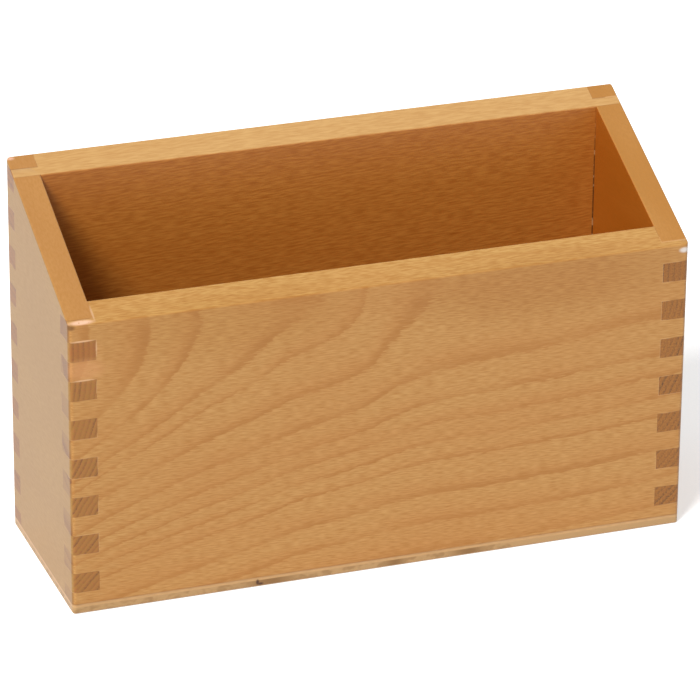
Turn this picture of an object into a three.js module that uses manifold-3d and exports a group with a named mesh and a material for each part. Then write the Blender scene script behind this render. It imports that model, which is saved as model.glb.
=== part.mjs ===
// An open wooden storage box: four finger-jointed walls on a thin plywood base.
// The whole top is sawn along one slanted plane, low at the front, high at the back.
// Lengths are millimetres and +Z is up. X runs along the length, Y from front to back.
// The origin is the middle of the footprint, on the underside of the base.

import * as THREE from 'three';
import { mergeVertices } from 'three/addons/utils/BufferGeometryUtils.js';
import Module from 'manifold-3d';

const wasm = await Module();
wasm.setup();

// Outer size. Both heights are measured from the table, at the outer faces.
const box_length = 187;
const box_depth = 62;
const front_height = 90;
const back_height = 117;

// Boards and the fingers of their corner joints
const wall_thickness = 8;
const base_thickness = 3;
const finger_width = 6;
const corner_tip_height = 2.2;

// Sanding of the glued box
const upright_corner_radius = 1.5;
const base_edge_radius = 0.6;
const arc_steps = 2;

// How far the saw runs past the wood
const saw_overrun = 10;

const half_length = box_length / 2;
const half_depth = box_depth / 2;
const top_slope = (back_height - front_height) / box_depth;
const blank_top = back_height + saw_overrun;
const tip_foot_z = back_height - corner_tip_height;
const finger_lines = lines_between_fingers();

// Heights where one finger ends and the next begins, from the top down. The top finger
// runs on above the saw cut, and the lowest one takes what is left above the base.
function lines_between_fingers() {
  const lines = [blank_top];
  let line = tip_foot_z;
  while (line > base_thickness) {
    lines.push(line);
    line -= finger_width;
  }
  lines.push(base_thickness);
  return lines;
}

// A closed geometry as a solid that can be cut.
function solid_from(geometry) {
  geometry.deleteAttribute('normal');
  geometry.deleteAttribute('uv');
  const merged = mergeVertices(geometry);
  const vertProperties = new Float32Array(merged.getAttribute('position').array);
  const triVerts = new Uint32Array(merged.getIndex().array);
  return new wasm.Manifold(new wasm.Mesh({ numProp: 3, vertProperties, triVerts }));
}

// The cut solid as a geometry again.
function geometry_from(solid) {
  const { vertProperties, triVerts } = solid.getMesh();
  const geometry = new THREE.BufferGeometry();
  geometry.setAttribute('position', new THREE.BufferAttribute(vertProperties, 3));
  geometry.setIndex(new THREE.BufferAttribute(triVerts, 1));
  geometry.computeVertexNormals();
  return geometry;
}

// Stands a drawing of (run, height) upright: its run goes along X or along Y,
// and the thickness that it is extruded by goes across that.
function upright(geometry, runs_along_x) {
  const x_axis = new THREE.Vector3(1, 0, 0);
  const y_axis = new THREE.Vector3(0, 1, 0);
  const z_axis = new THREE.Vector3(0, 0, 1);
  const turn = new THREE.Matrix4();
  if (runs_along_x) {
    turn.makeBasis(x_axis, z_axis, y_axis.negate());
  } else {
    turn.makeBasis(y_axis, z_axis, x_axis);
  }
  return geometry.applyMatrix4(turn);
}

// Face of a wall board before the top is sawn, drawn counter-clockwise. Its ends reach
// the full run at the fingers that it owns, every other one from the top down, and
// stand back by one wall where the neighbour's fingers pass.
function wall_face(run, owns_top_finger) {
  const left_end = [];
  for (let i = 1; i < finger_lines.length; i += 1) {
    const owns_finger = (i % 2 === 1) === owns_top_finger;
    const reach = owns_finger ? run / 2 : run / 2 - wall_thickness;
    left_end.push(new THREE.Vector2(-reach, finger_lines[i - 1]));
    left_end.push(new THREE.Vector2(-reach, finger_lines[i]));
  }
  const right_end = left_end.map((point) => new THREE.Vector2(-point.x, point.y)).reverse();
  return new THREE.Shape([...left_end, ...right_end]);
}

// Board of the full length, for the front or the back, with its rear face at the
// given place.
function long_wall_blank(rear_face_y) {
  const face = wall_face(box_length, false);
  const board = new THREE.ExtrudeGeometry(face, { depth: wall_thickness, bevelEnabled: false });
  return upright(board, true).translate(0, rear_face_y, 0);
}

// Board of the full depth, for one end, with its left face at the given place.
// It owns the top finger, of which only a tip is left after the saw cut.
function end_wall_blank(left_face_x) {
  const face = wall_face(box_depth, true);
  const board = new THREE.ExtrudeGeometry(face, { depth: wall_thickness, bevelEnabled: false });
  return upright(board, false).translate(left_face_x, 0, 0);
}

// The top finger of an end board in the back corner, above the back board's last one.
function corner_tip_blank(left_face_x) {
  const height = blank_top - tip_foot_z;
  const block = new THREE.BoxGeometry(wall_thickness, wall_thickness, height);
  const middle_x = left_face_x + wall_thickness / 2;
  const middle_y = half_depth - wall_thickness / 2;
  return block.translate(middle_x, middle_y, tip_foot_z + height / 2);
}

// Plywood sheet of the full footprint, glued under the walls.
function base_blank() {
  const sheet = new THREE.BoxGeometry(box_length, box_depth, base_thickness);
  return sheet.translate(0, 0, base_thickness / 2);
}

// Footprint with rounded corners, drawn counter-clockwise.
function footprint() {
  const radius = upright_corner_radius;
  const inner_x = half_length - radius;
  const inner_y = half_depth - radius;
  const outline = new THREE.Shape();
  outline.absarc(inner_x, -inner_y, radius, -Math.PI / 2, 0);
  outline.absarc(inner_x, inner_y, radius, 0, Math.PI / 2);
  outline.absarc(-inner_x, inner_y, radius, Math.PI / 2, Math.PI);
  outline.absarc(-inner_x, -inner_y, radius, Math.PI, Math.PI * 1.5);
  return outline;
}

// The box seen from one side before the top is sawn, with its two lower edges rounded.
function rounded_side(run) {
  const radius = base_edge_radius;
  const half_run = run / 2;
  const outline = new THREE.Shape();
  outline.absarc(half_run - radius, radius, radius, -Math.PI / 2, 0);
  outline.lineTo(half_run, blank_top);
  outline.lineTo(-half_run, blank_top);
  outline.absarc(radius - half_run, radius, radius, Math.PI, Math.PI * 1.5);
  return outline;
}

// Outer form that the glued box is sanded to: the upright corners are rounded and
// so are the lower edges all round.
function sanded_form() {
  const options = { curveSegments: arc_steps, bevelEnabled: false };
  const column = new THREE.ExtrudeGeometry(footprint(), { ...options, depth: blank_top });
  const from_front = new THREE.ExtrudeGeometry(rounded_side(box_length), { ...options, depth: box_depth });
  const from_end = new THREE.ExtrudeGeometry(rounded_side(box_depth), { ...options, depth: box_length });
  upright(from_front, true).translate(0, half_depth, 0);
  upright(from_end, false).translate(-half_length, 0, 0);
  return solid_from(column).intersect(solid_from(from_front)).intersect(solid_from(from_end));
}

// Everything above the slanted plane of the top, which the saw takes off.
function sawn_waste() {
  const front_y = -half_depth - saw_overrun;
  const back_y = half_depth + saw_overrun;
  const top_z = blank_top + saw_overrun;
  const side = new THREE.Shape([
    new THREE.Vector2(front_y, front_height - saw_overrun * top_slope),
    new THREE.Vector2(back_y, back_height + saw_overrun * top_slope),
    new THREE.Vector2(back_y, top_z),
    new THREE.Vector2(front_y, top_z),
  ]);
  const depth = box_length + saw_overrun + saw_overrun;
  const waste = upright(new THREE.ExtrudeGeometry(side, { depth, bevelEnabled: false }), false);
  return waste.translate(-depth / 2, 0, 0);
}

// A blank sanded to the outer form and sawn on top.
function finished(blank) {
  return blank.intersect(outer_form).subtract(waste);
}

// Mesh of lacquered wood, with its own origin at the given place.
function wooden_piece(name, solid, color, place) {
  const geometry = geometry_from(solid).translate(-place.x, -place.y, -place.z);
  const material = new THREE.MeshStandardMaterial({ color, roughness: 0.42, metalness: 0 });
  const mesh = new THREE.Mesh(geometry, material);
  mesh.name = name;
  mesh.position.copy(place);
  return mesh;
}

// Front or back board, standing on the base.
function long_wall(name, rear_face_y, outer_face_y, color) {
  const board = finished(solid_from(long_wall_blank(rear_face_y)));
  return wooden_piece(name, board, color, new THREE.Vector3(0, outer_face_y, base_thickness));
}

// End board, and the tip of its top finger at the back. The slanted cut passes under the
// tip's root, so the tip is a small wedge that glue holds on the back board's last finger.
function end_wall(side, left_face_x, outer_face_x, color) {
  const tip_blank = solid_from(corner_tip_blank(left_face_x));
  const board = finished(solid_from(end_wall_blank(left_face_x)).subtract(tip_blank));
  const tip = finished(tip_blank);
  const board_foot = new THREE.Vector3(outer_face_x, 0, base_thickness);
  const tip_foot = new THREE.Vector3(outer_face_x, half_depth, tip_foot_z);
  return [
    wooden_piece(`${side}_end_board`, board, color, board_foot),
    wooden_piece(`${side}_corner_tip`, tip, color, tip_foot),
  ];
}

// Plywood sheet under the walls, resting on the table.
function base(color) {
  const sheet = finished(solid_from(base_blank()));
  return wooden_piece('plywood_base', sheet, color, new THREE.Vector3(0, 0, 0));
}

const outer_form = sanded_form();
const waste = solid_from(sawn_waste());
const inner_front_y = wall_thickness - half_depth;
const inner_right_x = half_length - wall_thickness;

const storage_box = new THREE.Group();
storage_box.name = 'storage_box';
storage_box.add(
  long_wall('front_board', inner_front_y, -half_depth, 0xc39158),
  long_wall('back_board', half_depth, half_depth, 0xc98f50),
  ...end_wall('left', -half_length, -half_length, 0xcdac94),
  ...end_wall('right', inner_right_x, half_length, 0xc89150),
  base(0xb98a5c),
);

export default storage_box;
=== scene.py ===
# %% [markdown]
# # An open wooden storage box
#
# Four beech boards meet in finger joints, and a thin plywood sheet closes the bottom.
# After gluing, the whole top was sawn along one slanted plane, low at the front and high
# at the back, and the box was sanded and lacquered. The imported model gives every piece
# its size and place. This lesson remodels the pieces with their sanded edges and gives
# them wood that is solid all through, so that faces, edges and finger ends agree.

# %% Load the frame
import math
from collections import namedtuple

import bmesh
import bpy
from mathutils import Matrix, Vector


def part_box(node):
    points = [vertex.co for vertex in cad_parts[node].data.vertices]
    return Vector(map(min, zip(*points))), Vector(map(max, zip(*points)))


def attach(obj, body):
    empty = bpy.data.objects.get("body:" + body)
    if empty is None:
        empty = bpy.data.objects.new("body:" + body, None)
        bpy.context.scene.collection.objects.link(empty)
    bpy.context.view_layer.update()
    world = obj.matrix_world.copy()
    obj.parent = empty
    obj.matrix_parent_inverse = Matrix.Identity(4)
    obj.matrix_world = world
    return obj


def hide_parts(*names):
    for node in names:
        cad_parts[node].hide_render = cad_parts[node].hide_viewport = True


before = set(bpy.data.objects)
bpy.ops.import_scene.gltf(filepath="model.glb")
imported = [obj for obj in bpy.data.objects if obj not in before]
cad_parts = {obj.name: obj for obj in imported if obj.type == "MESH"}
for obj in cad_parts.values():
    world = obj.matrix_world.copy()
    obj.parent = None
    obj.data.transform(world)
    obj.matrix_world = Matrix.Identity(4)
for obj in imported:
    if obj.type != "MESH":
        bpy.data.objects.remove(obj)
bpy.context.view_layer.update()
MM = 0.001
print("nodes in the frame:", sorted(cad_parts))

# %% [markdown]
# ## Sizes, read from the frame
#
# Each node's box gives the sizes of the boards, so nothing here can drift away from the
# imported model. Only the softness of the sanded edges belongs to the looks.

# %% Read the sizes
Span = namedtuple("Span", "low high")


def node_span(name):
    """The lowest and highest corner of a node, as vectors."""
    low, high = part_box(name)
    return Span(Vector(low), Vector(high))


FRONT = node_span("front_board")
BACK = node_span("back_board")
LEFT = node_span("left_end_board")
RIGHT = node_span("right_end_board")
BASE = node_span("plywood_base")
LEFT_TIP = node_span("left_corner_tip")

WALL = FRONT.high.y - FRONT.low.y
FOOT_Z = BASE.high.z
TOP_SLOPE = (BACK.high.z - FRONT.high.z) / (BACK.high.y - FRONT.high.y)
FRONT_TOP_Z = BACK.high.z - TOP_SLOPE * (BACK.high.y - FRONT.low.y)
TOP_POINT = Vector((0, FRONT.low.y, FRONT_TOP_Z))
TOP_NORMAL = Vector((0, -TOP_SLOPE, 1)).normalized()
BLANK_TOP_Z = BACK.high.z + WALL
print("wall", round(WALL / MM, 3), "mm, base", round(FOOT_Z / MM, 3), "mm")
print("front", round(FRONT_TOP_Z / MM, 3), "mm high, back", round(BACK.high.z / MM, 3), "mm")

# %% [markdown]
# All fingers have one width. Their lines were set out from the top of the back downwards
# and run level all round, so one list of heights serves all four corners.

# %% Finger lines
FINGER = 6 * MM


def lines_between_fingers():
    """Heights where one finger ends and the next begins, from the top down."""
    lines = [BLANK_TOP_Z]
    line = LEFT_TIP.low.z
    while line > FOOT_Z:
        lines.append(line)
        line -= FINGER
    lines.append(FOOT_Z)
    return lines


FINGER_LINES = lines_between_fingers()
print("finger lines:", [round(z / MM, 1) for z in FINGER_LINES])

# %% [markdown]
# ## Helpers for working on one mesh
#
# Operators act on what is selected, so every helper first deselects, then picks faces or
# edges by where they are. A block is added at its size and place, and its place is put
# into its mesh at once, so that edit mode works in the box's own coordinates.

# %% Blocks
def add_block(name, low, high):
    """A plain block between two corners, with its object at the origin."""
    bpy.ops.object.select_all(action="DESELECT")
    low, high = Vector(low), Vector(high)
    bpy.ops.mesh.primitive_cube_add(size=1, location=(low + high) / 2, scale=high - low)
    block = bpy.context.object
    block.name = name
    bpy.ops.object.transform_apply(location=True, rotation=True, scale=True)
    return block


def work_on(piece):
    """Make one piece the only selected and active one."""
    bpy.ops.object.select_all(action="DESELECT")
    piece.select_set(True)
    bpy.context.view_layer.objects.active = piece


print("block helpers ready")

# %% [markdown]
# The sheets and boards stand square to the axes, so a face or an edge can be told from
# all others by the coordinates of its corners. That stays true when a size changes.

# %% Selections and cuts
CLOSE = 0.01 * MM


def pick_faces(piece, wanted):
    """Select the faces for which wanted(face) is true. The piece is in edit mode."""
    bpy.ops.mesh.select_mode(type="FACE")
    bpy.ops.mesh.select_all(action="DESELECT")
    mesh = bmesh.from_edit_mesh(piece.data)
    for face in mesh.faces:
        face.select_set(bool(wanted(face)))
    bmesh.update_edit_mesh(piece.data)


def pick_edges(piece, wanted):
    """Select the edges for which wanted(start, end) is true. The piece is in edit mode."""
    bpy.ops.mesh.select_mode(type="EDGE")
    bpy.ops.mesh.select_all(action="DESELECT")
    mesh = bmesh.from_edit_mesh(piece.data)
    for edge in mesh.edges:
        edge.select_set(bool(wanted(edge.verts[0].co, edge.verts[1].co)))
    bmesh.update_edit_mesh(piece.data)


def cut_all(point, normal, **options):
    """Cut the whole mesh in edit mode along a plane."""
    bpy.ops.mesh.select_all(action="SELECT")
    bpy.ops.mesh.bisect(plane_co=point, plane_no=normal, **options)


def saw_top():
    """Take off everything above the slanted plane and close the cut."""
    cut_all(TOP_POINT, TOP_NORMAL, clear_outer=True, use_fill=True)


def on_top(point):
    """True for a point in the slanted plane of the top."""
    return abs((point - TOP_POINT).dot(TOP_NORMAL)) < CLOSE


def same(a, b):
    """True for two coordinates that agree."""
    return abs(a - b) < CLOSE


print("coordinates agree within", round(CLOSE / MM, 3), "mm")

# %% [markdown]
# ## The sanded form
#
# A joiner sands the box after gluing, so that the rounding runs across all the joints.
# The same order works here: one hollow form of the whole box gets every rounded edge
# once, and each board is then cut out of it with an exact Boolean. Bevelling the boards
# one by one would leave small steps wherever two boards meet.

# %% Softness of the edges
CORNER_RADIUS = 1.3 * MM
FOOT_RADIUS = 0.6 * MM
TOP_RADIUS = 0.45 * MM
RIM_RADIUS = 0.4 * MM

print("upright corners", round(CORNER_RADIUS / MM, 2), "mm")
print("lower edge", round(FOOT_RADIUS / MM, 2), "mm")

# %% [markdown]
# A bevel modifier has one width, and takes each edge's weight as a share of it. So all
# the edges can be rounded in one go: each kind is found by where it lies, and gets the
# weight of its own radius.

# %% Find the edges
BEVEL_WIDTH = 2 * MM


def weigh_edges(piece, radius, wanted):
    """Give the chosen edges a share of the widest bevel."""
    pick_edges(piece, wanted)
    bpy.ops.transform.edge_bevelweight(value=radius / BEVEL_WIDTH)


def is_corner_edge(a, b):
    """An outer upright edge."""
    upright = same(a.x, b.x) and same(a.y, b.y)
    outer_x = same(abs(a.x), FRONT.high.x)
    outer_y = same(abs(a.y), BACK.high.y)
    return upright and outer_x and outer_y


def is_foot_edge(a, b):
    """An outer edge on the table."""
    return same(a.z, 0) and same(b.z, 0)


def is_rim_edge(a, b):
    """An inner edge of the slanted top."""
    inside_x = abs(a.x) < FRONT.high.x - CLOSE and abs(b.x) < FRONT.high.x - CLOSE
    inside_y = abs(a.y) < BACK.high.y - CLOSE and abs(b.y) < BACK.high.y - CLOSE
    return on_top(a) and on_top(b) and inside_x and inside_y


def is_outer_top_edge(a, b):
    """An outer edge of the slanted top."""
    return on_top(a) and on_top(b) and not is_rim_edge(a, b)


print("widest bevel", round(BEVEL_WIDTH / MM, 2), "mm")

# %% [markdown]
# The form is a block with a hollow cut out of it, sawn along the slanted plane. The
# bevel comes last, so that it also runs along the edges that the saw made.

# %% Shape the sanded form
BEVEL_STEPS = 6


def apply_modifiers(piece):
    """Make a piece's modifiers part of its mesh."""
    work_on(piece)
    for modifier in list(piece.modifiers):
        bpy.ops.object.modifier_apply(modifier=modifier.name)


def cut_with(piece, tool, operation):
    """Exact Boolean of a piece with a tool."""
    boolean = piece.modifiers.new("cut", "BOOLEAN")
    boolean.operation = operation
    boolean.solver = "EXACT"
    boolean.object = tool
    apply_modifiers(piece)


def make_sanded_form():
    """The whole box as one hollow solid with all its rounded edges."""
    form_high = (FRONT.high.x, BACK.high.y, BLANK_TOP_Z)
    form = add_block("sanded_form", BASE.low, form_high)
    hollow_low = (LEFT.high.x, FRONT.high.y, FOOT_Z)
    hollow_high = (RIGHT.low.x, BACK.low.y, BLANK_TOP_Z + WALL)
    hollow = add_block("hollow", hollow_low, hollow_high)
    cut_with(form, hollow, "DIFFERENCE")
    bpy.data.objects.remove(hollow)
    work_on(form)
    bpy.ops.object.mode_set(mode="EDIT")
    saw_top()
    weigh_edges(form, CORNER_RADIUS, is_corner_edge)
    weigh_edges(form, FOOT_RADIUS, is_foot_edge)
    weigh_edges(form, TOP_RADIUS, is_outer_top_edge)
    weigh_edges(form, RIM_RADIUS, is_rim_edge)
    bpy.ops.object.mode_set(mode="OBJECT")
    bevel = form.modifiers.new("sanding", "BEVEL")
    bevel.limit_method = "WEIGHT"
    bevel.width = BEVEL_WIDTH
    bevel.segments = BEVEL_STEPS
    apply_modifiers(form)
    return form


sanded_form = make_sanded_form()
print("sanded form:", len(sanded_form.data.polygons), "faces")

# %% [markdown]
# ## Boards with fingers
#
# A board starts as a block between its neighbours. The block is cut through at every
# finger line, and every other strip of its two end faces is drawn out by one wall
# thickness: these are the fingers. The neighbour draws out the strips in between. The
# slanted cut leaves the tip of each end board's top finger on its own, so the tip is
# its own piece, cut from the same block.

# %% Fingers and boards
Board = namedtuple("Board", "name span run_axis owns_top_finger")


def owns_strip(height, owns_top_finger):
    """True where the strip at this height belongs to the board."""
    lines_above = sum(1 for line in FINGER_LINES if line > height)
    return (lines_above % 2 == 1) == owns_top_finger


def draw_out_fingers(piece, board, side):
    """Extrude the board's own strips of one end face by one wall thickness."""
    axis = "xyz".index(board.run_axis)
    end = board.span.high[axis] if side > 0 else board.span.low[axis]

    def is_own_strip(face):
        """True for a strip of this end that the board draws out."""
        centre = face.calc_center_median()
        return same(centre[axis], end) and owns_strip(centre.z, board.owns_top_finger)

    pick_faces(piece, is_own_strip)
    move = Vector((0, 0, 0))
    move[axis] = side * WALL
    bpy.ops.mesh.extrude_region_move(TRANSFORM_OT_translate={"value": move})


def make_board(board):
    """A board with its fingers, cut out of the sanded form."""
    piece = add_block(board.name, board.span.low, board.span.high)
    bpy.ops.object.mode_set(mode="EDIT")
    for line in FINGER_LINES[1:-1]:
        cut_all((0, 0, line), (0, 0, 1))
    for side in (-1, 1):
        draw_out_fingers(piece, board, side)
    bpy.ops.object.mode_set(mode="OBJECT")
    cut_with(piece, sanded_form, "INTERSECT")
    return piece


print("strips at each end of a board:", len(FINGER_LINES) - 1)

# %% [markdown]
# The two long boards reach from end board to end board, and the end boards from long
# board to long board. Only their fingers reach on into the four corners.

# %% Four boards
HALF_LENGTH = FRONT.high.x
HALF_DEPTH = BACK.high.y
INNER_X = RIGHT.low.x
INNER_Y = BACK.low.y


def upright_span(low_x, high_x, low_y, high_y):
    """The space of a board before the fingers, from the base to the top of the blank."""
    return Span(Vector((low_x, low_y, FOOT_Z)), Vector((high_x, high_y, BLANK_TOP_Z)))


BOARDS = (
    Board("front", upright_span(-INNER_X, INNER_X, -HALF_DEPTH, -INNER_Y), "x", False),
    Board("back", upright_span(-INNER_X, INNER_X, INNER_Y, HALF_DEPTH), "x", False),
    Board("left_end", upright_span(-HALF_LENGTH, -INNER_X, -INNER_Y, INNER_Y), "y", True),
    Board("right_end", upright_span(INNER_X, HALF_LENGTH, -INNER_Y, INNER_Y), "y", True),
)
pieces = {board.name: make_board(board) for board in BOARDS}


def separate_tip(side):
    """Part the loose tip of the top finger from an end board."""
    work_on(pieces[side + "_end"])
    bpy.ops.object.mode_set(mode="EDIT")
    bpy.ops.mesh.select_all(action="SELECT")
    bpy.ops.mesh.separate(type="LOOSE")
    bpy.ops.object.mode_set(mode="OBJECT")
    tip, board = sorted(bpy.context.selected_objects, key=lambda piece: piece.dimensions.z)
    tip.name = side + "_tip"
    board.name = side + "_end"
    pieces[tip.name], pieces[board.name] = tip, board


separate_tip("left")
separate_tip("right")
for name, piece in pieces.items():
    print(name, len(piece.data.polygons), "faces")

# %% [markdown]
# ## The plywood sheet
#
# The base covers the whole footprint. It is cut out of the same sanded form, so its
# lower edge gets the round of the sanded box, and its plies show along that round.

# %% Make the base
pieces["base"] = add_block("base", BASE.low, BASE.high)
cut_with(pieces["base"], sanded_form, "INTERSECT")
bpy.data.objects.remove(sanded_form)
print("base", len(pieces["base"].data.polygons), "faces")

# %% [markdown]
# ## Smooth edges, flat faces
#
# The rounded edges are shaded smooth. Weighted normals let the large flat faces win over
# the narrow rounded ones, so no gradient creeps into a flat board.

# %% Shade the pieces
SMOOTH_ANGLE = math.radians(35)


def shade(piece):
    """Smooth the rounded edges and keep the large faces flat."""
    work_on(piece)
    bpy.ops.object.shade_smooth_by_angle(angle=SMOOTH_ANGLE)
    weighted = piece.modifiers.new("flat faces win", "WEIGHTED_NORMAL")
    weighted.keep_sharp = True
    apply_modifiers(piece)


for piece in pieces.values():
    shade(piece)
print("shaded", len(pieces), "pieces")

# %% [markdown]
# ## The camera
#
# The camera stands in front of the box, to the left and above, with a long lens. Its
# place, direction and lens were found by matching the straight edges and the finger
# joints of the box in the photograph.

# %% Place the camera
IMAGE_WIDTH = 700
FOCAL_PIXELS = 4811.25
SENSOR_WIDTH = 36
NEAREST_SEEN = 10 * MM
CAMERA_PLACE = Vector((-0.42735, -1.20517, 0.63547))
CAMERA_YAW = -0.341192
CAMERA_DOWN = 0.425319
CAMERA_ROLL = 0.008725

camera_data = bpy.data.cameras.new("camera")
camera_data.sensor_width = SENSOR_WIDTH
camera_data.lens = FOCAL_PIXELS * SENSOR_WIDTH / IMAGE_WIDTH
camera_data.clip_start = NEAREST_SEEN
camera = bpy.data.objects.new("camera", camera_data)
turn = Matrix.Rotation(CAMERA_YAW, 4, "Z")
tilt = Matrix.Rotation(math.pi / 2 - CAMERA_DOWN, 4, "X")
roll = Matrix.Rotation(CAMERA_ROLL, 4, "Z")
camera.matrix_world = Matrix.Translation(CAMERA_PLACE) @ turn @ tilt @ roll
bpy.context.collection.objects.link(camera)
bpy.context.scene.camera = camera
print("lens", round(camera_data.lens, 2), "mm")

# %% [markdown]
# ## Helpers for materials
#
# A material is a small network of nodes. One helper adds a node, sets its options and
# fills its sockets by name, either with a value or with the output of another node.

# %% Nodes and sockets
def fill_sockets(tree, node, sockets):
    """Give input sockets a value, or link them to another node's output."""
    for key, value in (sockets or {}).items():
        if isinstance(value, bpy.types.NodeSocket):
            tree.links.new(value, node.inputs[key])
        else:
            node.inputs[key].default_value = value


def add_node(tree, kind, sockets=None, **settings):
    """Add a shader node, set its options and fill its sockets by name or number."""
    node = tree.nodes.new("ShaderNode" + kind)
    for key, value in settings.items():
        setattr(node, key, value)
    fill_sockets(tree, node, sockets)
    return node


print("node helper ready")

# %% [markdown]
# These are short names for the nodes that a wood material needs most: sums, soft steps
# from one level to another, and colours laid over each other.

# %% Short names for nodes
def calculate(tree, operation, *values):
    """One Math node with its values in order."""
    return add_node(tree, "Math", dict(enumerate(values)), operation=operation).outputs[0]


def product(tree, first, *others):
    """Several values multiplied."""
    for other in others:
        first = calculate(tree, "MULTIPLY", first, other)
    return first


def largest(tree, first, *others):
    """The largest of several values."""
    for other in others:
        first = calculate(tree, "MAXIMUM", first, other)
    return first


def ease(tree, value, low, high, to_low=0.0, to_high=1.0):
    """Go softly from one level to another while a value passes from low to high."""
    levels = {"Value": value, "From Min": low, "From Max": high}
    levels.update({"To Min": to_low, "To Max": to_high})
    return add_node(tree, "MapRange", levels, interpolation_type="SMOOTHSTEP").outputs[0]


MIX_FACTOR, MIX_FIRST, MIX_SECOND, MIX_RESULT = 0, 6, 7, 2


def mix_colours(tree, factor, first, second, blend_type="MIX"):
    """Lay the second colour over the first."""
    node = add_node(tree, "Mix", data_type="RGBA", blend_type=blend_type)
    fill_sockets(tree, node, {MIX_FACTOR: factor, MIX_FIRST: first, MIX_SECOND: second})
    return node.outputs[MIX_RESULT]


def tint(tree, factor, colour, filter_colour):
    """Look at a colour through a coloured filter."""
    return mix_colours(tree, factor, colour, filter_colour, "MULTIPLY")


def near(tree, value, middle, reach):
    """One at a value's middle, falling to nothing at its reach."""
    distance = calculate(tree, "ABSOLUTE", calculate(tree, "SUBTRACT", value, middle))
    return ease(tree, distance, 0.0, reach, 1.0, 0.0)


def split(tree, vector):
    """The three parts of a vector, by name."""
    return add_node(tree, "SeparateXYZ", {0: vector}).outputs


print("the mix node takes its colours at", MIX_FIRST, "and", MIX_SECOND)

# %% [markdown]
# Colours are easiest to choose as they are read on screen, but the shaders reckon with
# light. The usual screen curve turns one into the other: straight for the darkest tones,
# and a power above them.

# %% Screen colours
SCREEN_MOST = 255
DARKEST, DARK_SLOPE = 0.04045, 12.92
CURVE_SHIFT, CURVE_POWER = 0.055, 2.4


def as_light(level):
    """One screen level, 0 to 255, as light."""
    share = level / SCREEN_MOST
    if share <= DARKEST:
        return share / DARK_SLOPE
    return ((share + CURVE_SHIFT) / (1 + CURVE_SHIFT)) ** CURVE_POWER


def linear(red, green, blue):
    """A colour as it is read on screen, turned into light."""
    return (as_light(red), as_light(green), as_light(blue), 1.0)


print("tan on screen as light:", [round(share, 3) for share in linear(192, 140, 75)])

# %% [markdown]
# ## Groups
#
# An effect that several materials share is built once, as a node group with named
# inputs and outputs, and placed in each material with values of its own.

# %% Group helpers
NUMBER, VECTOR, COLOUR = "NodeSocketFloat", "NodeSocketVector", "NodeSocketColor"


def new_group(name, inputs, outputs):
    """An empty group. Inputs give each name its kind and its usual value."""
    group = bpy.data.node_groups.new(name, "ShaderNodeTree")
    for label, (kind, usual) in inputs.items():
        socket = group.interface.new_socket(label, in_out="INPUT", socket_type=kind)
        if usual is not None:
            socket.default_value = usual
    for label, kind in outputs.items():
        group.interface.new_socket(label, in_out="OUTPUT", socket_type=kind)
    given = group.nodes.new("NodeGroupInput").outputs
    result = group.nodes.new("NodeGroupOutput").inputs
    return group, given, result


def use_group(tree, group, sockets):
    """Place a group in a material or in another group."""
    node = tree.nodes.new("ShaderNodeGroup")
    node.node_tree = group
    fill_sockets(tree, node, sockets)
    return node.outputs


print("group helpers ready")

# %% [markdown]
# ## Spots along the grain
#
# Everything in wood is drawn out along its fibres. A noise whose places are divided by
# one length along the board, and by a much smaller one across it, gives spots of that
# length and thickness. Sway, flecks and fibres all come from it, at different sizes.

# %% Group: drawn-out noise
def make_drawn_out_noise():
    """Group: noise with its spots drawn out along the board."""
    inputs = {"Place": (VECTOR, None), "Length": (NUMBER, 3 * MM), "Thickness": (NUMBER, MM)}
    group, given, result = new_group("drawn_out_noise", inputs, {"Level": NUMBER})
    along = calculate(group, "DIVIDE", 1.0, given["Length"])
    across = calculate(group, "DIVIDE", 1.0, given["Thickness"])
    scale = add_node(group, "CombineXYZ", {"X": along, "Y": across, "Z": across}).outputs[0]
    stretch = {0: given["Place"], 1: scale}
    stretched = add_node(group, "VectorMath", stretch, operation="MULTIPLY").outputs[0]
    noise = add_node(group, "TexNoise", {"Vector": stretched, "Scale": 1.0, "Detail": 1.0})
    group.links.new(noise.outputs[0], result["Level"])
    return group


drawn_out_noise = make_drawn_out_noise()


def spots(tree, place, length, thickness):
    """Noise with spots of one length along the board and one thickness across it."""
    sockets = {"Place": place, "Length": length, "Thickness": thickness}
    return use_group(tree, drawn_out_noise, sockets)["Level"]


print("group", drawn_out_noise.name)

# %% [markdown]
# ## Distance from the heart
#
# A board is a slice of a log. Every point of it has a distance from the heart of the
# log, and equal distances form the growth lines, on the faces as well as on the ends.
# Where the log grew askew, the heart comes closer to the board along its length, and the
# lines close into arches on a face that was sawn along the log.
#
# The group works in board places: X along the board, Y from its outer face inwards and
# Z up. Sway bends the lines gently over a few centimetres. Jag moves them from one
# fibre to the next, so that their edges look feathered.

# %% Group: heart distance
SWAY_LENGTH = 30 * MM
SWAY_THICKNESS = 14 * MM
JAG_LENGTH = 4 * MM
JAG_THICKNESS = 0.55 * MM
NOISE_MIDDLE = 0.5


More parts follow.
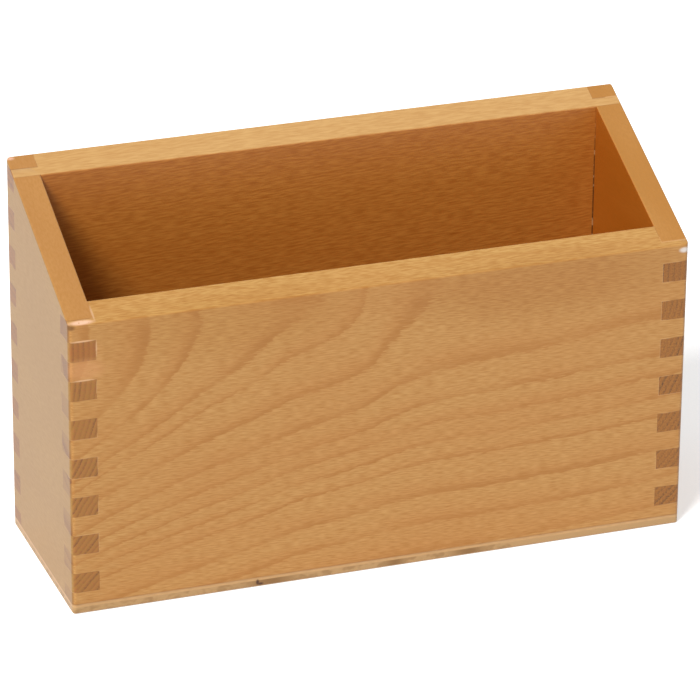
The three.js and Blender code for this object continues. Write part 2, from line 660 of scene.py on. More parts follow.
def make_heart_distance():
    """Group: how far a point lies from the heart of its log."""
    group, given, result = new_group("heart_distance", {
        "Place": (VECTOR, None),
        "Heart Height": (NUMBER, 80 * MM),
        "Heart Depth": (NUMBER, 50 * MM),
        "Sway": (NUMBER, 2 * MM),
        "Jag": (NUMBER, MM),
    }, {"Radius": NUMBER})
    place = split(group, given["Place"])
    depth = calculate(group, "ADD", place["Y"], given["Heart Depth"])
    height = calculate(group, "SUBTRACT", place["Z"], given["Heart Height"])
    across = add_node(group, "CombineXYZ", {"Y": depth, "Z": height}).outputs[0]
    radius = add_node(group, "VectorMath", {0: across}, operation="LENGTH").outputs["Value"]
    bends = (
        (SWAY_LENGTH, SWAY_THICKNESS, given["Sway"]),
        (JAG_LENGTH, JAG_THICKNESS, given["Jag"]),
    )
    for length, thickness, amount in bends:
        level = spots(group, given["Place"], length, thickness)
        bend = product(group, calculate(group, "SUBTRACT", level, NOISE_MIDDLE), amount)
        radius = calculate(group, "ADD", radius, bend)
    group.links.new(radius, result["Radius"])
    return group


heart_distance = make_heart_distance()
print("group", heart_distance.name)

# %% [markdown]
# ## Growth lines
#
# The ring count grows by one from one growth line to the next. A ring starts with light
# wood, darkens slowly towards its end, and ends in a thin dark line with a sharp outer
# side. So the fraction of the count gives both, and its whole number gives each ring a
# tone of its own.

# %% Group: growth lines
LATE_START, LATE_FULL = 0.25, 0.97
LINE_START, LINE_FULL = 0.72, 0.93
LINE_END = 0.95


def make_growth_lines():
    """Group: late wood, dark line and tone of each ring."""
    outputs = {"Late": NUMBER, "Line": NUMBER, "Tone": NUMBER}
    group, given, result = new_group("growth_lines", {"Count": (NUMBER, 0.0)}, outputs)
    share = calculate(group, "FRACT", given["Count"])
    sharp_side = ease(group, share, LINE_END, 1.0, 1.0, 0.0)
    late = product(group, ease(group, share, LATE_START, LATE_FULL), sharp_side)
    line = product(group, ease(group, share, LINE_START, LINE_FULL), sharp_side)
    ring = calculate(group, "FLOOR", given["Count"])
    tone = add_node(group, "TexWhiteNoise", {"W": ring}, noise_dimensions="1D")
    group.links.new(late, result["Late"])
    group.links.new(line, result["Line"])
    group.links.new(tone.outputs["Value"], result["Tone"])
    return group


growth_lines = make_growth_lines()
print("group", growth_lines.name)

# %% [markdown]
# ## Flecks and fibres
#
# Beech is full of short dark flecks that run along the grain, between paler fibres. Both
# come from the drawn-out noise: the fibres from all of its levels, the flecks only from
# its peaks, and only where a longer noise is high too, so that they come in groups. The
# fibres do not lie quite level in the board; they fall a little towards its right end.

# %% Group: flecks
FIBRE_FALL = 0.045
FIBRE_LOW, FIBRE_HIGH = 0.25, 0.75
FLECK_LOW, FLECK_HIGH = 0.52, 0.8
GROUP_LOW, GROUP_HIGH = 0.35, 0.6
GROUP_LENGTH = 3.0


def make_flecks():
    """Group: fibres, and flecks at their peaks."""
    group, given, result = new_group("flecks", {
        "Place": (VECTOR, None),
        "Length": (NUMBER, 2.4 * MM),
        "Thickness": (NUMBER, 0.45 * MM),
        "Fibre Strength": (NUMBER, 0.75),
    }, {"Level": NUMBER})
    place = split(group, given["Place"])
    fall = product(group, place["X"], FIBRE_FALL)
    height = calculate(group, "ADD", place["Z"], fall)
    tilted = add_node(group, "CombineXYZ", {"X": place["X"], "Y": place["Y"], "Z": height})
    tilted = tilted.outputs[0]
    fine = spots(group, tilted, given["Length"], given["Thickness"])
    group_length = product(group, given["Length"], GROUP_LENGTH)
    groups = spots(group, tilted, group_length, given["Thickness"])
    fibre = ease(group, fine, FIBRE_LOW, FIBRE_HIGH)
    fibre = product(group, fibre, given["Fibre Strength"])
    fleck = ease(group, fine, FLECK_LOW, FLECK_HIGH)
    fleck = product(group, fleck, ease(group, groups, GROUP_LOW, GROUP_HIGH))
    group.links.new(largest(group, fibre, fleck), result["Level"])
    return group


flecks = make_flecks()
print("group", flecks.name)

# %% [markdown]
# ## Glue lines, the seam above the base and an open corner
#
# Where two pieces meet, a hairline stays visible, in some places dark and in others
# filled with pale glue. The lines lie at the finger lines and at the roots of the
# fingers, all inside the four corner posts, and along the top of the plywood. In the
# inner corner at the back right the joint stands open a little: a dark gap with some
# pale crumbs of glue in it.
#
# This group works in box places, with the zero in the middle of the box on the table,
# so that two boards that meet agree on the line between them.

# %% Group: joint lines
HAIRLINE = 0.16 * MM
SEAM_REACH = 0.5 * MM
POST_MARGIN = 0.15 * MM
HALF = 0.5
PAIR = 2.0
GAP_REACH = 0.45 * MM
GAP_WIDE_Z = 88 * MM
GAP_CLOSED_Z = 114 * MM
GLUE_PATCH = 9 * MM
CRUMB = 2.5 * MM
GLUE_LOW, CRUMB_LOW = 0.5, 0.58
PATCH_EDGE = 0.08


def make_joint_lines():
    """Group: masks for glue lines, the seam, the open corner and its crumbs."""
    outputs = {"Line": NUMBER, "Foot": NUMBER, "Gap": NUMBER, "Glue": NUMBER, "Crumb": NUMBER}
    inputs = {"Place": (VECTOR, None), "Width": (NUMBER, HAIRLINE)}
    group, given, result = new_group("joint_lines", inputs, outputs)
    place = split(group, given["Place"])
    side = calculate(group, "ABSOLUTE", place["X"])
    face = calculate(group, "ABSOLUTE", place["Y"])

    from_top = calculate(group, "SUBTRACT", LEFT_TIP.low.z, place["Z"])
    strip = calculate(group, "DIVIDE", from_top, FINGER)
    to_line = product(group, calculate(group, "PINGPONG", strip, HALF), FINGER)
    finger_line = ease(group, to_line, 0.0, given["Width"], 1.0, 0.0)
    half_strip = product(group, calculate(group, "FLOOR", strip), HALF)
    end_strip = product(group, calculate(group, "FRACT", half_strip), PAIR)
    long_strip = calculate(group, "SUBTRACT", 1.0, end_strip)
    end_root = product(group, near(group, side, INNER_X, given["Width"]), end_strip)
    long_root = product(group, near(group, face, INNER_Y, given["Width"]), long_strip)
    post_x = calculate(group, "GREATER_THAN", side, INNER_X - POST_MARGIN)
    post_y = calculate(group, "GREATER_THAN", face, INNER_Y - POST_MARGIN)
    line = product(group, largest(group, finger_line, end_root, long_root), post_x, post_y)
    group.links.new(line, result["Line"])
    foot = near(group, place["Z"], FOOT_Z, SEAM_REACH)
    group.links.new(foot, result["Foot"])

    corner_x = near(group, place["X"], INNER_X, GAP_REACH)
    corner_y = near(group, place["Y"], INNER_Y, GAP_REACH)
    open_part = ease(group, place["Z"], GAP_WIDE_Z, GAP_CLOSED_Z, 1.0, 0.0)
    group.links.new(product(group, corner_x, corner_y, open_part), result["Gap"])

    for label, size, low in (("Glue", GLUE_PATCH, GLUE_LOW), ("Crumb", CRUMB, CRUMB_LOW)):
        patch = spots(group, given["Place"], size, size)
        patch = ease(group, patch, low, low + PATCH_EDGE)
        group.links.new(patch, result[label])
    return group


joint_lines = make_joint_lines()
print("group", joint_lines.name)

# %% [markdown]
# ## Beech
#
# One group makes beech from the board places: light and late wood with growth lines,
# slow changes of colour, fibres and flecks. The growth lines fade in and out along the
# board, as they do in real wood. Where the fibres are cut across, the wood is darker and
# its growth lines are clearer. How far that is so comes from the face's own direction:
# the more squarely it looks along the board, the more end grain it shows. The lines are
# clear in some of the finger ends and smoothed over in others.

# %% Group: beech
CLOUD_LENGTH = 60 * MM
CLOUD_THICKNESS = 16 * MM
CLOUD_LOW, CLOUD_HIGH = 0.35, 0.7
FADE_LENGTH = 34 * MM
FADE_THICKNESS = 9 * MM
FADE_LOW, FADE_HIGH = 0.34, 0.58
FAINTEST_LINE = 0.4
PALEST_RING = 0.45
SAW_PATCH = 13 * MM
SAW_LOW, SAW_HIGH = 0.38, 0.54
SMOOTH_PATCH = 0.65


def make_beech():
    """Group: the colour of beech, and the height of its surface."""
    group, given, result = new_group("beech", {
        "Place": (VECTOR, None),
        "Count": (NUMBER, 0.0),
        "End Grain": (NUMBER, 0.0),
        "Light Wood": (COLOUR, linear(196, 150, 82)),
        "Late Wood": (COLOUR, linear(190, 135, 67)),
        "Growth Line": (COLOUR, linear(172, 117, 47)),
        "Fleck": (COLOUR, linear(166, 110, 33)),
        "End Wood": (COLOUR, linear(175, 113, 50)),
        "End Line": (COLOUR, linear(100, 54, 20)),
        "Late Strength": (NUMBER, 0.8),
        "Line Strength": (NUMBER, 0.9),
        "End Line Strength": (NUMBER, 0.95),
        "Cloud Strength": (NUMBER, 0.4),
        "Fleck Length": (NUMBER, 3.3 * MM),
        "Fleck Thickness": (NUMBER, 0.35 * MM),
        "Fleck Strength": (NUMBER, 0.9),
    }, {"Colour": COLOUR, "Height": NUMBER})
    rings = use_group(group, growth_lines, {"Count": given["Count"]})
    fade = spots(group, given["Place"], FADE_LENGTH, FADE_THICKNESS)
    fade = ease(group, fade, FADE_LOW, FADE_HIGH, FAINTEST_LINE, 1.0)
    late = product(group, rings["Late"], given["Late Strength"], fade)
    line = product(group, rings["Line"], given["Line Strength"], fade)
    side_wood = mix_colours(group, late, given["Light Wood"], given["Late Wood"])
    side_wood = mix_colours(group, line, side_wood, given["Growth Line"])

    cloud = spots(group, given["Place"], CLOUD_LENGTH, CLOUD_THICKNESS)
    cloud = ease(group, cloud, CLOUD_LOW, CLOUD_HIGH)
    cloud = product(group, cloud, given["Cloud Strength"])
    side_wood = mix_colours(group, cloud, side_wood, given["Late Wood"])

    tone = ease(group, rings["Tone"], 0.0, 1.0, PALEST_RING, 1.0)
    end_line = largest(group, rings["Line"], rings["Late"])
    saw_mark = spots(group, given["Place"], SAW_PATCH, SAW_PATCH)
    saw_mark = ease(group, saw_mark, SAW_LOW, SAW_HIGH, SMOOTH_PATCH, 1.0)
    end_line = product(group, end_line, tone, saw_mark, given["End Line Strength"])
    end_wood = mix_colours(group, end_line, given["End Wood"], given["End Line"])
    wood = mix_colours(group, given["End Grain"], side_wood, end_wood)

    fleck = use_group(group, flecks, {
        "Place": given["Place"],
        "Length": given["Fleck Length"],
        "Thickness": given["Fleck Thickness"],
    })["Level"]
    fleck = product(group, fleck, given["Fleck Strength"])
    wood = mix_colours(group, fleck, wood, given["Fleck"])
    group.links.new(wood, result["Colour"])
    group.links.new(calculate(group, "SUBTRACT", 1.0, fleck), result["Height"])
    return group


beech = make_beech()
print("group", beech.name)

# %% [markdown]
# ## A material for each board
#
# The four boards come from different logs. Each material first turns the place of a
# point into board places: it turns the box about the upright axis until the board's
# outer face looks to the front, and moves the zero to that face's left end. The saw cut
# the tops at a slant, so each board has a strength of its own for the flecks there.

# %% Board places and logs
BoardPlace = namedtuple("BoardPlace", "run_axis quarter_turns start outer_face top_flecks")
FRONT_PLACE = BoardPlace("X", 0, HALF_LENGTH, HALF_DEPTH, 1.15)
BACK_PLACE = BoardPlace("X", 2, HALF_LENGTH, HALF_DEPTH, 0.6)
LEFT_PLACE = BoardPlace("Y", 1, HALF_DEPTH, HALF_LENGTH, 0.7)
RIGHT_PLACE = BoardPlace("Y", -1, HALF_DEPTH, HALF_LENGTH, 0.8)
QUARTER_TURN = math.pi / 2

Log = namedtuple("Log", "heart_height heart_depth rings sway jag")


def board_places(tree, place):
    """Board places of a point: X along the board, Y inwards, Z up."""
    settings = {
        "Vector": add_node(tree, "TexCoord").outputs["Object"],
        "Location": (place.start, place.outer_face, 0),
        "Rotation": (0, 0, place.quarter_turns * QUARTER_TURN),
    }
    return add_node(tree, "Mapping", settings).outputs[0]


def curve_through(tree, value, points, handles):
    """A curve through given points, as shares from 0 to 1."""
    node = add_node(tree, "FloatCurve", {"Value": value})
    curve = node.mapping.curves[0]
    curve.points[0].location = points[0]
    curve.points[-1].location = points[-1]
    for point in points[1:-1]:
        curve.points.new(*point)
    for point in curve.points:
        point.handle_type = handles
    node.mapping.update()
    return node.outputs[0]


print("board places:", FRONT_PLACE, BACK_PLACE, LEFT_PLACE, RIGHT_PLACE)

# %% [markdown]
# The front board shows the heart of its log wandering away to the right: its growth
# lines close into arches at the upper left and run nearly level at the right. So the
# height and the depth of its heart are curves along the board, and its rings have radii
# of their own. The other boards are plainer, with a straight heart and even rings.

# %% Four logs
FRONT_LENGTH = 2 * HALF_LENGTH
HEART_HEIGHTS = ((0, 85), (50, 87), (80, 91), (105, 88), (187, 90))
HEART_DEPTHS = ((0, 11), (30, 36), (60, 44), (80, 46), (105, 54.5), (130, 56), (187, 57.3))
RING_RADII = (
    20, 33.5, 39.5, 45.5, 48.5, 55, 61.5, 66.5, 70.5, 74.5, 78.5, 86.5, 93.5, 101,
)

FRONT_LOG = Log(HEART_HEIGHTS, HEART_DEPTHS, RING_RADII, 1.2 * MM, 1.7 * MM)
BACK_LOG = Log(-70 * MM, 20 * MM, 2.4 * MM, 3 * MM, 1.4 * MM)
LEFT_LOG = Log(82 * MM, 72 * MM, 1.5 * MM, 1.6 * MM, 0.4 * MM)
RIGHT_LOG = Log(82 * MM, -72 * MM, 1.7 * MM, 1.6 * MM, 0.4 * MM)


def along_the_board(tree, run, values):
    """One value, or a curve through (run, value) points in millimetres."""
    if isinstance(values, float):
        return values
    largest_value = max(value for _, value in values)
    length = FRONT_LENGTH / MM
    points = [(place / length, value / largest_value) for place, value in values]
    share = calculate(tree, "DIVIDE", run, FRONT_LENGTH)
    return product(tree, curve_through(tree, share, points, "AUTO"), largest_value * MM)


def ring_count(tree, radius, rings):
    """Number of rings from the heart: even rings, or a list of ring radii."""
    if isinstance(rings, float):
        return calculate(tree, "DIVIDE", radius, rings)
    last = rings[-1]
    points = [(0, 0)]
    points += [(ring / last, number / len(rings)) for number, ring in enumerate(rings, 1)]
    share = calculate(tree, "DIVIDE", radius, last * MM)
    return product(tree, curve_through(tree, share, points, "VECTOR"), len(rings))


print("front log:", len(RING_RADII), "rings")

# %% [markdown]
# ## Flushes and marks of use
#
# The real box has two places where the front is a little deeper in tone, one redder
# finger end, and a few small marks: a worn sliver and chips at the upper corners, pale
# glue beside two fingers, and a dark notch in the edge of the plywood. Each one is a
# soft blot with a place, a reach in the three directions and a colour. A flush filters
# the wood, so that the grain shows through it. The small marks cover the wood and are
# broken up by a fine noise.

# %% Blots
Blot = namedtuple("Blot", "centre reach colour strength")
BLOT_CORE = 0.3
FLUSHES = (
    Blot((48, -31, 84), (58, 9, 15), (0.85, 0.76, 0.55, 1), 0.75),
    Blot((-45, -31, 86), (52, 9, 16), (0.9, 0.84, 0.62, 1), 0.6),
    Blot((-89.5, -31, 81.8), (7, 3, 4.0), (1, 0.86, 0.78, 1), 0.9),
)
MARKS = (
    Blot((-89, -31, 76), (8, 3, 4.5), linear(208, 146, 92), 0.5),
    Blot((-89.5, -30.2, 90.3), (4.9, 1.4, 0.8), linear(236, 190, 158), 0.9),
    Blot((-92.9, -30.7, 89.3), (2.0, 1.2, 1.2), linear(110, 68, 12), 0.8),
    Blot((92.0, -30.8, 88.3), (2.2, 1.1, 1.2), linear(222, 214, 206), 0.9),
    Blot((-92.4, 29.9, 116.8), (1.7, 1.1, 0.8), linear(236, 186, 158), 0.7),
    Blot((-89.6, -31, 84.9), (4.8, 0.9, 0.4), linear(226, 180, 136), 0.75),
    Blot((-85.4, -31, 82.2), (0.35, 0.9, 3.4), linear(218, 174, 130), 0.55),
    Blot((-85.5, -27.5, 91.5), (0.45, 4.6, 2.4), linear(230, 190, 152), 0.4),
    Blot((-89.2, -31, 72.9), (4.2, 0.9, 0.35), linear(220, 178, 136), 0.65),
    Blot((-38.1, -31, 1.5), (0.7, 0.9, 1.2), linear(66, 30, 0), 0.95),
    Blot((-37.2, -31, 0.9), (1.2, 0.9, 0.6), linear(74, 36, 0), 0.95),
)
MARK_GRAIN = 0.9 * MM
MARK_GAPS, MARK_FULL = 0.18, 0.36


def add_blots(tree, box_place, colour, blots, share, lay):
    """Lay soft blots over a colour, as a cover or as a filter."""
    for blot in blots:
        settings = {
            "Vector": box_place,
            "Location": [distance * MM for distance in blot.centre],
            "Scale": [distance * MM for distance in blot.reach],
        }
        place = add_node(tree, "Mapping", settings, vector_type="TEXTURE").outputs[0]
        away = add_node(tree, "VectorMath", {0: place}, operation="LENGTH").outputs["Value"]
        level = ease(tree, away, BLOT_CORE, 1.0, blot.strength, 0.0)
        colour = lay(tree, product(tree, level, share), colour, blot.colour)
    return colour


def add_wear(tree, box_place, colour):
    """Lay the flushes and the marks of use over a colour."""
    colour = add_blots(tree, box_place, colour, FLUSHES, 1.0, tint)
    grain = spots(tree, box_place, MARK_GRAIN, MARK_GRAIN)
    grain = ease(tree, grain, MARK_GAPS, MARK_FULL)
    return add_blots(tree, box_place, colour, MARKS, grain, mix_colours)


print("flushes:", len(FLUSHES), "marks:", len(MARKS))

# %% [markdown]
# ## Where a face looks and lies
#
# End grain shows where a face looks along the board, the saw cut where it looks up, and
# the painted shade of the inside where it lies between the walls. So the face's direction
# and place are turned into shares from 0 to 1, which then steer the wood and its painted
# shade.

# %% Shares of a face
END_GRAIN_START, END_GRAIN_FULL = 0.5, 0.95
LEVEL_TOP, STEEP_TOP = 0.85, 0.5
INNER_EDGE = 0.2 * MM


def end_grain_share(tree, run_axis):
    """How squarely a face looks along the board."""
    normal = add_node(tree, "NewGeometry").outputs["Normal"]
    facing = calculate(tree, "ABSOLUTE", split(tree, normal)[run_axis])
    return ease(tree, facing, END_GRAIN_START, END_GRAIN_FULL)


def upward_share(tree):
    """How squarely a face looks up."""
    normal = add_node(tree, "NewGeometry").outputs["Normal"]
    return ease(tree, split(tree, normal)["Z"], STEEP_TOP, LEVEL_TOP)


# The share where the painted shade of the inside is laid.
def inside_shade_share(tree, place):
    """One on the inner faces of the box, nothing on its top and outside."""
    parts = split(tree, place)
    side = calculate(tree, "ABSOLUTE", parts["X"])
    face = calculate(tree, "ABSOLUTE", parts["Y"])
    within_x = ease(tree, side, INNER_X, INNER_X + INNER_EDGE, 1.0, 0.0)
    within_y = ease(tree, face, INNER_Y, INNER_Y + INNER_EDGE, 1.0, 0.0)
    return product(tree, within_x, within_y)


print("face shares ready")

# %% [markdown]
# ## Satin lacquer
#
# The lacquer is a thin satin coat: the shader's own gloss at a middle roughness, and a
# weak second coat that only shows as a pale haze on faces seen at a slant.

# %% Lacquer
LACQUER_ROUGHNESS = 0.38
COAT_WEIGHT = 0.2
COAT_INDEX = 1.25
COAT_ROUGHNESS = 0.35


def new_material(name):
    """A material with its node tree and its main shader."""
    material = bpy.data.materials.new(name)
    material.use_nodes = True
    tree = material.node_tree
    shader = tree.nodes["Principled BSDF"]
    shader.inputs["Roughness"].default_value = LACQUER_ROUGHNESS
    shader.inputs["Coat Weight"].default_value = COAT_WEIGHT
    shader.inputs["Coat IOR"].default_value = COAT_INDEX
    shader.inputs["Coat Roughness"].default_value = COAT_ROUGHNESS
    return material, tree, shader


print("lacquer roughness", LACQUER_ROUGHNESS)

# %% [markdown]
# ## From log to lacquered board
#
# The layers follow the making of the box: first the wood with its rings, then a painted
# shade on the upright faces of two boards and a deeper painted shade on the inside, then
# the glue lines and the open corner, and last the marks of use. Pores and flecks press
# very shallow marks into the lacquer, through a bump.

# %% Wood materials
PORE_DEPTH = 0.1 * MM
PORE_STRENGTH = 0.15
HEART_WOOD, OUTER_WOOD = 42 * MM, 72 * MM
HEART_STRENGTH, OUTER_STRENGTH = 0.95, 0.9
TOP_LINES = 0.35
RING_STRENGTH = 0.8
FLECK_STRENGTH = 0.9
WHITE = (1, 1, 1, 1)
# Painted shade: the filter that makes the inside of the box deeper and more orange.
INNER_PAINTED_SHADE = (0.89, 0.57, 0.26, 1)
JOINT_DARK = linear(120, 72, 30)
JOINT_STRENGTH = 0.35
SEAM_STRENGTH = 0.32
GLUE_PALE = linear(222, 176, 126)
GAP_DARK = linear(70, 38, 18)
CRUMB_STRENGTH = 0.6


def make_wood(name, place, log, looks, upright_painted_light=WHITE):
    """Lacquered beech for one board. A painted shade filters all but its top."""
    material, tree, shader = new_material(name)
    places = board_places(tree, place)
    run = split(tree, places)["X"]
    radius = use_group(tree, heart_distance, {
        "Place": places,
        "Heart Height": along_the_board(tree, run, log.heart_height),
        "Heart Depth": along_the_board(tree, run, log.heart_depth),
        "Sway": log.sway,
        "Jag": log.jag,
    })["Radius"]
    quiet = ease(tree, upward_share(tree), 0.0, 1.0, 1.0, TOP_LINES)
    top_flecks = ease(tree, upward_share(tree), 0.0, 1.0, 1.0, place.top_flecks)
    heart = ease(tree, radius, HEART_WOOD, OUTER_WOOD, HEART_STRENGTH, OUTER_STRENGTH)
    line_strength = looks.get("Line Strength", RING_STRENGTH)
    fleck_strength = looks.get("Fleck Strength", FLECK_STRENGTH)
    wood = use_group(tree, beech, {
        "Place": places,
        "Count": ring_count(tree, radius, log.rings),
        "End Grain": end_grain_share(tree, place.run_axis),
        **looks,
        "Late Strength": product(tree, heart, line_strength, quiet),
        "Line Strength": product(tree, quiet, line_strength),
        "Fleck Strength": product(tree, top_flecks, fleck_strength),
    })
    box_place = add_node(tree, "TexCoord").outputs["Object"]
    # Painted shade on the upright faces, so the top stays lighter; on the left end this
    # filter is also a painted cool reflection.
    upright = calculate(tree, "SUBTRACT", 1.0, upward_share(tree))
    colour = tint(tree, upright, wood["Colour"], upright_painted_light)
    # Painted shade: the inner faces are filtered deeper and more orange.
    colour = tint(tree, inside_shade_share(tree, box_place), colour, INNER_PAINTED_SHADE)
    joints = use_group(tree, joint_lines, {"Place": box_place})
    hairline = product(tree, joints["Line"], JOINT_STRENGTH)
    hairline_colour = mix_colours(tree, joints["Glue"], JOINT_DARK, GLUE_PALE)
    colour = mix_colours(tree, hairline, colour, hairline_colour)
    seam = product(tree, joints["Foot"], SEAM_STRENGTH)
    colour = mix_colours(tree, seam, colour, JOINT_DARK)
    crumb = product(tree, joints["Crumb"], CRUMB_STRENGTH)
    gap_colour = mix_colours(tree, crumb, GAP_DARK, GLUE_PALE)
    colour = mix_colours(tree, joints["Gap"], colour, gap_colour)
    colour = add_wear(tree, box_place, colour)
    tree.links.new(colour, shader.inputs["Base Color"])
    bump = {"Height": wood["Height"], "Strength": PORE_STRENGTH, "Distance": PORE_DEPTH}
    tree.links.new(add_node(tree, "Bump", bump).outputs[0], shader.inputs["Normal"])
    return material


print("inner tone:", INNER_PAINTED_SHADE)

# %% [markdown]
# The boards differ in tone, and in how much of their rings and flecks shows. The front
# has the clearest growth lines. The left end looks paler and cooler, partly because its
# lacquer mirrors the white surroundings at a slant and partly through a painted cool
# reflection, and the right end is the deepest in colour. The upright faces of the front
# and the left end also get a painted shade, so their tops look lighter.

# %% Four woods
# Painted shade for the upright faces; on the left end also a painted cool reflection.
FRONT_UPRIGHT_SHADE = (0.96, 0.91, 0.94, 1)
LEFT_UPRIGHT_SHADE_AND_SHEEN = (0.82, 0.95, 1, 1)

front_wood = make_wood("front_wood", FRONT_PLACE, FRONT_LOG, {
    "End Wood": linear(146, 110, 51),
}, FRONT_UPRIGHT_SHADE)
back_wood = make_wood("back_wood", BACK_PLACE, BACK_LOG, {
    "Light Wood": linear(202, 157, 94),
    "Late Wood": linear(193, 143, 78),
    "End Wood": linear(140, 88, 34),
    "Line Strength": 0.22,
    "Fleck": linear(158, 98, 20),
    "Fleck Length": 4.2 * MM,
    "Fleck Thickness": 0.5 * MM,
    "Fleck Strength": 0.75,
})
left_wood = make_wood("left_wood", LEFT_PLACE, LEFT_LOG, {
    "Light Wood": linear(178, 123, 59),
    "End Wood": linear(178, 105, 41),
    "End Line": linear(118, 54, 22),
    "Fleck Thickness": 0.5 * MM,
    "Line Strength": 0.15,
}, LEFT_UPRIGHT_SHADE_AND_SHEEN)
right_wood = make_wood("right_wood", RIGHT_PLACE, RIGHT_LOG, {
    "Light Wood": linear(172, 113, 34),
    "End Wood": linear(143, 85, 22),
    "End Line": linear(58, 28, 11),
    "Fleck Thickness": 0.5 * MM,
    "Line Strength": 0.15,
})
print("made", front_wood.name, back_wood.name, left_wood.name, right_wood.name)

# %% [markdown]
# ## Plywood
#
# The sheet has three plies: pale face veneers and a darker core whose fibres run the
# other way, so that its end grain shows along the front edge. The plies are layers by
# height, and the lower one has been sanded thin. The core is pieced: to the right of one
# joint it is pale, and to the left it has some darker stretches. Inside the box the sheet
# has the same painted shade as the walls.

# %% Plywood material
UPPER_PLY = 0.95 * MM
LOWER_PLY = 0.4 * MM
PLY_BLEND = 0.15 * MM
VENEER = linear(199, 156, 104)
CORE_PALE = linear(180, 142, 93)
CORE_DARK = linear(136, 98, 50)
CORE_JOINT = 41 * MM
DARK_STRETCHES = ((-34, 13), (4, 6), (27, 9))
CORE_FLECK_LENGTH, CORE_FLECK_THICKNESS = 3 * MM, 2 * MM
CORE_FLECK_LOW, CORE_FLECK_HIGH = 0.42, 0.62
CORE_FLECKS = 0.55
VENEER_FIBRES = 0.3


def make_plywood():
    """Lacquered plywood in three plies."""
    material, tree, shader = new_material("plywood")
    place = add_node(tree, "TexCoord").outputs["Object"]
    parts = split(tree, place)
    upper = FOOT_Z - UPPER_PLY
    below = ease(tree, parts["Z"], upper - PLY_BLEND, upper + PLY_BLEND, 1.0, 0.0)
    above = ease(tree, parts["Z"], LOWER_PLY - PLY_BLEND, LOWER_PLY + PLY_BLEND)
    core = product(tree, below, above)
    stretches = [near(tree, parts["X"], x * MM, reach * MM) for x, reach in DARK_STRETCHES]
    fleck = spots(tree, place, CORE_FLECK_LENGTH, CORE_FLECK_THICKNESS)
    fleck = ease(tree, fleck, CORE_FLECK_LOW, CORE_FLECK_HIGH, 0.0, CORE_FLECKS)
    left_part = calculate(tree, "LESS_THAN", parts["X"], CORE_JOINT)
    dark = product(tree, largest(tree, fleck, *stretches), left_part)
    core_wood = mix_colours(tree, dark, CORE_PALE, CORE_DARK)
    fibre = use_group(tree, flecks, {"Place": place})["Level"]
    veneer = mix_colours(tree, product(tree, fibre, VENEER_FIBRES), VENEER, CORE_DARK)
    colour = mix_colours(tree, core, veneer, core_wood)
    seam = product(tree, near(tree, parts["Z"], FOOT_Z, SEAM_REACH), SEAM_STRENGTH)
    colour = mix_colours(tree, seam, colour, JOINT_DARK)
    # Painted shade on the sheet's upper face inside the box.
    shaded_floor_share = product(tree, inside_shade_share(tree, place), upward_share(tree))
    colour = tint(tree, shaded_floor_share, colour, INNER_PAINTED_SHADE)
    colour = add_wear(tree, place, colour)
    tree.links.new(colour, shader.inputs["Base Color"])
    return material


plywood = make_plywood()
print("made", plywood.name)

# %% [markdown]
# ## Dress the pieces
#
# Every piece rides on the one body of the box, stands for its node and takes its finish
# from the node's slot.

# %% Dress and place
DRESSING = (
    ("front", "front_board", "front_wood", front_wood),
    ("back", "back_board", "back_wood", back_wood),
    ("left_end", "left_end_board", "left_wood", left_wood),
    ("right_end", "right_end_board", "right_wood", right_wood),
    ("left_tip", "left_corner_tip", "left_wood", left_wood),
    ("right_tip", "right_corner_tip", "right_wood", right_wood),
    ("base", "plywood_base", "plywood", plywood),
)
for name, node, slot, material in DRESSING:
    piece = pieces[name]
    piece.data.materials.clear()
    piece.data.materials.append(material)
    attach(piece, "root")
    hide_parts(node)
print("dressed", len(DRESSING), "pieces")

# %% [markdown]
# ## Studio
#
# The box stands on a white floor under a soft sky. The sky and the floor look white to
# the camera and in reflections, but light the box at a plain level, so its colours
# render about as they are written. The floor lies a hair below the box, so that it never
# fights with the underside of the base for the same plane.

# %% Sky and floor
SKY_LEVEL = 0.45
WHITE_LEVEL = 1.0
FLOOR_SIZE = 8
FLOOR_DROP = 0.1 * MM
FLOOR_LIT = (0.8, 0.8, 0.8, 1)
FLOOR_GLOW = 0.4


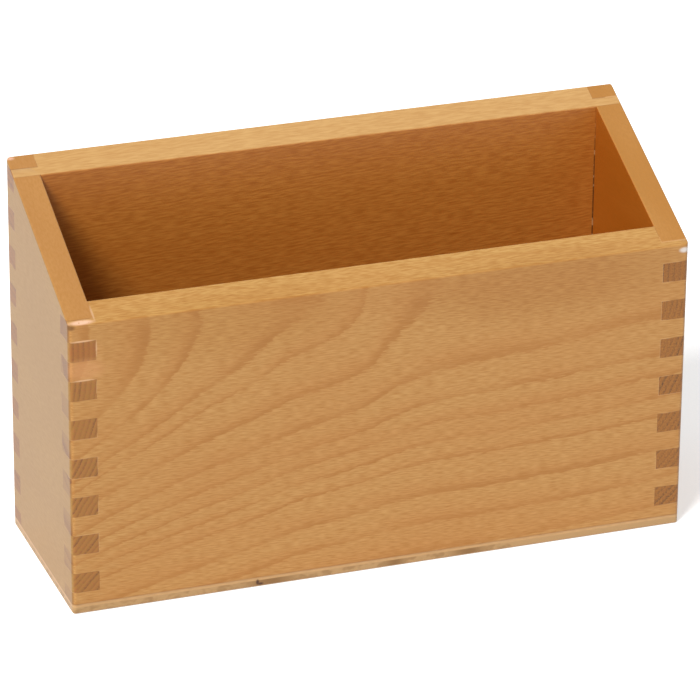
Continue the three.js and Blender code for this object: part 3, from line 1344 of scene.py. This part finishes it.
def sees_background(tree):
    """One for rays of the camera and for mirrored or passing rays, otherwise nothing."""
    path = add_node(tree, "LightPath").outputs
    rays = (path["Is Camera Ray"], path["Is Glossy Ray"], path["Is Transmission Ray"])
    return largest(tree, *rays)


def make_sky():
    """White for the camera, plain light for the box."""
    world = bpy.data.worlds.new("sky")
    world.use_nodes = True
    tree = world.node_tree
    background = tree.nodes["Background"]
    background.inputs["Color"].default_value = WHITE
    level = ease(tree, sees_background(tree), 0.0, 1.0, SKY_LEVEL, WHITE_LEVEL)
    tree.links.new(level, background.inputs["Strength"])
    bpy.context.scene.world = world


def make_floor():
    """A white floor that keeps the box's shadow."""
    bpy.ops.object.select_all(action="DESELECT")
    bpy.ops.mesh.primitive_plane_add(size=FLOOR_SIZE, location=(0, 0, -FLOOR_DROP))
    floor = bpy.context.object
    floor.name = "floor"
    material, tree, shader = new_material("white_floor")
    colour = mix_colours(tree, sees_background(tree), FLOOR_LIT, WHITE)
    tree.links.new(colour, shader.inputs["Base Color"])
    shader.inputs["Roughness"].default_value = 1.0
    shader.inputs["Specular IOR Level"].default_value = 0.0
    shader.inputs["Coat Weight"].default_value = 0.0
    shader.inputs["Emission Color"].default_value = WHITE
    glow = product(tree, add_node(tree, "LightPath").outputs["Is Camera Ray"], FLOOR_GLOW)
    tree.links.new(glow, shader.inputs["Emission Strength"])
    floor.data.materials.append(material)


make_sky()
make_floor()
print("sky level", SKY_LEVEL)

# %% [markdown]
# One wide lamp from above and the left gives direction: it leaves the front in plain
# light and the left part of the inside in shade.

# %% The lamp
LAMP_LEVEL = 3.1
LAMP_ANGLE = math.radians(19)
LAMP_FROM = Vector((-0.74, -0.58, 1.0))


def make_lamp():
    """One wide lamp."""
    lamp = bpy.data.lights.new("soft_lamp", "SUN")
    lamp.energy = LAMP_LEVEL
    lamp.angle = LAMP_ANGLE
    holder = bpy.data.objects.new("soft_lamp", lamp)
    holder.rotation_euler = LAMP_FROM.to_track_quat("Z", "Y").to_euler()
    bpy.context.collection.objects.link(holder)


make_lamp()
bpy.context.scene.view_settings.view_transform = "Standard"
print("lamp level", LAMP_LEVEL)
